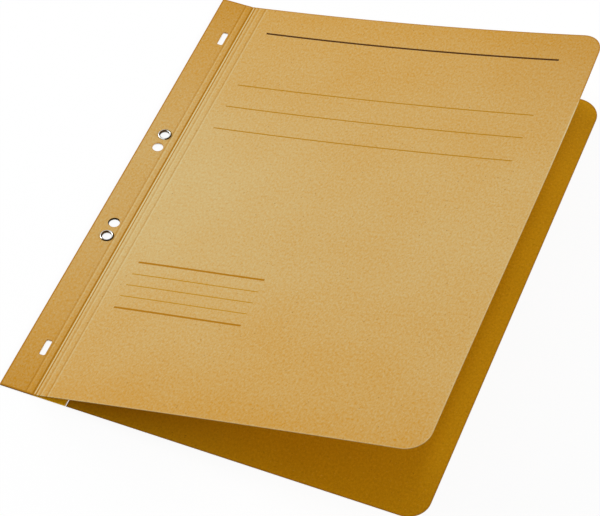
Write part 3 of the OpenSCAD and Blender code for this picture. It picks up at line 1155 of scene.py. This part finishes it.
def eyelet_profile(side):
    """Flat foot with rounded edges, barrel and rolled rim. side: that the rim's painted dark reflection
    faces.
    """
    rim_r = (RIM_R - BORE_R) / 2
    rim = []
    for angle in spread(RIM_START, math.pi, RIM_POINTS):
        radius = BORE_R + rim_r + rim_r * math.cos(angle)
        rim.append((radius, FRONT_TOP + rim_r * math.sin(angle), rim_tone(angle, side)))
    foot_r = RIM_R - FOOT_ROUND
    clean, hidden = even(0.0), even(HIDDEN_TONE)
    foot = [
        (BORE_R, BACK_Z + FOOT_ROUND, clean),
        (BORE_R + FOOT_ROUND, BACK_Z, clean),
        (foot_r, BACK_Z, clean),
        (RIM_R, BACK_Z + FOOT_ROUND, even(FOOT_TONE)),
        (foot_r, BACK_Z + EYELET_FOOT, hidden),
        (BARREL_R, BACK_Z + EYELET_FOOT, hidden),
    ]
    return [*foot, (BARREL_R, FRONT_TOP - BARREL_END, hidden), *rim]


def make_eyelets():
    for name, centre in zip(("upper", "lower"), EYELETS):
        place = Vector((EDGE_X + centre.x, centre.y))
        piece = revolve(f"eyelet_{name}_ring", eyelet_profile(DARK_REFLECTION_SIDES[name]), place, NICKEL)
        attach(piece, "filing_strip")
        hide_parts(f"eyelet_{name}")


# Fastener

def loft(name, sections, material):
    """Closed piece through equal rings of points, with a cap on both ends."""
    count = len(sections[0])
    vertices = [point for section in sections for point in section]
    faces = [tuple(range(count))]
    for i in range(len(sections) - 1):
        for j in range(count):
            a, b = i * count + j, i * count + (j + 1) % count
            faces.append((a, a + count, b + count, b))
    faces.append(tuple(range(len(vertices) - 1, len(vertices) - count - 1, -1)))
    return link(name, new_mesh(name, vertices, faces, [material], LOFT_SHARP))


def tongue_path():
    """Middle line of one half of the tongue, as (y, z, direction): base, upright and folded prong."""
    low, high = TONGUE_LOW.z + TONGUE_T / 2, TONGUE_HIGH.z - TONGUE_T / 2
    path = [(0.0, low, 0.0)]
    for first, middle in ((0.0, low + TONGUE_BEND), (QUARTER, high - TONGUE_BEND)):
        for turn in spread(first, first + QUARTER, BEND_POINTS):
            y = PRONG_Y - TONGUE_BEND * (1 - math.sin(turn))
            path.append((y, middle - TONGUE_BEND * math.cos(turn), turn))
    tip = PRONG_Y + TONGUE_T / 2 - PRONG_L
    stations = spread(PRONG_Y - PRONG_FROM, tip + PRONG_TIP, PRONG_POINTS)
    stations += [tip + PRONG_TIP * (1 - math.sin(turn)) for turn in TIP_TURNS]
    path += [(y, high, math.pi) for y in stations]
    return path, tip


def tongue_section(y, z, direction, side, half_w):
    """Ring of points round the tongue's metal, square to its middle line."""
    across = Vector((-math.sin(direction), math.cos(direction))) * TONGUE_T / 2
    shares = (-1, -TONGUE_EDGE, TONGUE_EDGE, 1)
    points = []
    for x, face in [(x, -1) for x in shares] + [(x, 1) for x in shares[::-1]]:
        lift = face * (TONGUE_ROUND if abs(x) == 1 else 1.0)
        points.append((FASTENER_X + x * half_w, side * (y + lift * across.x), z + lift * across.y))
    return points


def make_tongue():
    path, tip = tongue_path()
    sections = []
    for side, stations in ((-1, path[::-1]), (1, path[1:])):
        for y, z, direction in stations:
            short = min(max((y - tip) / PRONG_TIP, 0.0), 1.0) if direction > FOLDED_FROM else 1.0
            half_w = PRONG_W / 2 * math.sqrt(max(1 - (1 - short) ** 2, TIP_LEAST))
            sections.append(tongue_section(y, z, direction, side, half_w))
    piece = loft("tongue_ribbon", sections, TIN_PLATE)
    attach(piece, "back")
    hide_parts("fastener_tongue")


def rail_ring(grow):
    """Outline of the rail with half-round ends, grown by grow."""
    upper = arc((FASTENER_U, RAIL_REACH), RAIL_HALF_W + grow, 0.0, math.pi, RAIL_STEPS)
    return upper + arc((FASTENER_U, -RAIL_REACH), RAIL_HALF_W + grow, math.pi, 2 * math.pi, RAIL_STEPS)


def make_rail_plate():
    walls = (CHANNEL_FLAT, CHANNEL_FLAT + CHANNEL_RISE)
    columns = [FASTENER_U + side * wall for side in (-1, 1) for wall in walls]
    guides = [rail_ring(-inset) for inset in RAIL_GUIDES]
    plan = triangulate(rail_ring(0.0), prong_slits(), guides, columns, RAIL_ROWS)

    def edge_drop(u, y):
        """How far the rail's rounded edge falls away at a point."""
        beyond = max(abs(y) - RAIL_REACH, 0.0)
        inset = RAIL_HALF_W - math.hypot(u - FASTENER_U, beyond)
        return RAIL_ROUND * (1 - smooth(inset / (2 * RAIL_ROUND)))

    def upper(u, y):
        pressed = 1 - smooth((abs(u - FASTENER_U) - CHANNEL_FLAT) / CHANNEL_RISE)
        return Vector((EDGE_X + u, y, RAIL_HIGH.z - RAIL_CHANNEL * pressed - edge_drop(u, y)))

    def lower(u, y):
        return Vector((EDGE_X + u, y, RAIL_HIGH.z - RAIL_T + edge_drop(u, y)))

    materials = [TIN_PLATE] * (OUTLINE_SLOT + 1)
    plate = make_sheet("rail_plate", plan, upper, lower, even(0.0), RAIL_LAYER, materials)
    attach(plate, "back")
    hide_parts("cover_rail")


def make_rail_collars():
    low, top = RAIL_LOW.z, RAIL_HIGH.z - RAIL_T - RAIL_CHANNEL
    dull, clean = even(COLLAR_DULL), even(0.0)
    section = [
        (COLLAR_BORE, low, dull),
        (COLLAR_FOOT_R, low, dull),
        (COLLAR_R, top, clean),
        (COLLAR_BORE, top, dull),
    ]
    for name, side in (("upper", 1), ("lower", -1)):
        collar = revolve(f"rail_collar_{name}", section, Vector((FASTENER_X, side * PRONG_Y)), TIN_PLATE)
        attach(collar, "back")


def clip_section(node, y_share):
    """C-shaped ring of a slider, open below. y_share: -1 to 1 along its length."""
    low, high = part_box(node)
    half_w, half_l = (high.x - low.x) / 2, (high.y - low.y) / 2
    y = y_share * half_l
    trim = CLIP_BEVEL if abs(y_share) == 1 else 0.0
    ridges = 0.5 - 0.5 * math.cos(2 * math.pi * y / GRIP_PITCH)
    dip = GRIP_DEPTH * ridges * (abs(y) <= GRIP_HALF_L)
    inner_w = half_w - CLIP_T
    corner = [
        (half_w - CLIP_ROUND * (1 - math.sin(turn)), CLIP_ROUND * (1 - math.cos(turn)))
        for turn in spread(0.0, QUARTER, CLIP_ROUND_POINTS)
    ]
    right = [(inner_w - CLIP_LIP, low.z)] + [(x - trim, low.z + drop) for x, drop in corner]
    right += [(x - trim, high.z - drop - trim) for x, drop in corner[::-1]]
    right += [(x, high.z - trim - (dip if x < GRIP_HALF_W else 0.0)) for x in GRIP_EDGES]
    inner = [(inner_w, high.z - CLIP_T), (inner_w, low.z + CLIP_T), (inner_w - CLIP_LIP, low.z + CLIP_T)]
    loop = right + [(-x, z) for x, z in right[::-1]] + [(-x, z) for x, z in inner[::-1]] + inner
    middle_y = (low.y + high.y) / 2
    return [(FASTENER_X + x, middle_y + y, z) for x, z in loop]


def make_sliders():
    for name in ("upper", "lower"):
        node = f"slider_{name}"
        sections = [clip_section(node, share) for share in CLIP_SHARES]
        piece = loft(f"slider_{name}_clip", sections, SLIDER_TIN)
        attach(piece, f"{name}_slider")
        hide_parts(node)


# Stage

def seen_directly(tree):
    """1 for rays that show the stage itself: from the camera, in metal and through holes."""
    path = add_node(tree, "ShaderNodeLightPath").outputs
    mirrored = calc(tree, "MAXIMUM", path["Is Glossy Ray"], path["Is Transmission Ray"])
    return calc(tree, "MAXIMUM", path["Is Camera Ray"], mirrored)


def floor_material():
    """White paint that takes shadows, mixed with plain white where the floor is seen directly."""
    material, tree, _ = new_material("white_floor")
    tree.nodes.clear()
    paint = add_node(tree, "ShaderNodeBsdfDiffuse", {"Color": rgba(FLOOR_PAINT)}).outputs[0]
    glow = add_node(tree, "ShaderNodeEmission", {"Color": rgba(WHITE), "Strength": 1.0}).outputs[0]
    share = calc(tree, "MULTIPLY", seen_directly(tree), FLOOR_WHITE)
    mixed = add_node(tree, "ShaderNodeMixShader", {0: share, 1: paint, 2: glow}).outputs[0]
    add_node(tree, "ShaderNodeOutputMaterial", {"Surface": mixed})
    return material


def make_floor():
    sides = ((-1, -1), (1, -1), (1, 1), (-1, 1))
    corners = [(x * FLOOR_REACH, y * FLOOR_REACH, -FLOOR_DROP) for x, y in sides]
    link("floor", new_mesh("floor", corners, [(0, 1, 2, 3)], [floor_material()]))


def make_world():
    world = bpy.data.worlds.new("soft_studio")
    bpy.context.scene.world = world
    world.use_nodes = True
    tree = world.node_tree
    strength = remap(tree, seen_directly(tree), 0.0, 1.0, ROOM_LIGHT, 1.0)
    background = tree.nodes["Background"]
    background.inputs["Color"].default_value = rgba(WHITE)
    tree.links.new(strength, background.inputs["Strength"])


def make_lamp(name, place, size, energy, colour):
    data = bpy.data.lights.new(name, "AREA")
    data.shape = "DISK"
    data.size = size
    data.energy = energy
    data.color = colour
    lamp = link(name, data)
    lamp.location = place
    lamp.rotation_euler = (Vector(LAMP_AIM) - Vector(place)).to_track_quat("-Z", "Y").to_euler()


def make_camera():
    data = bpy.data.cameras.new("camera")
    data.sensor_fit = "HORIZONTAL"
    data.sensor_width = SENSOR_W
    data.lens = CAMERA_LENS
    camera = link("camera", data)
    camera.location = CAMERA_PLACE
    camera.rotation_euler = CAMERA_TURN
    bpy.context.scene.camera = camera


make_camera()
make_back_sheet()
make_liner_sheet()
make_strip_face()
make_fold_face()
make_cover_sheet()
make_printed_rules()
make_eyelets()
make_tongue()
make_rail_plate()
make_rail_collars()
make_sliders()
make_floor()
make_world()
for lamp_name, lamp in LAMPS.items():
    make_lamp(lamp_name, *lamp)
bpy.context.scene.view_settings.view_transform = "Standard"
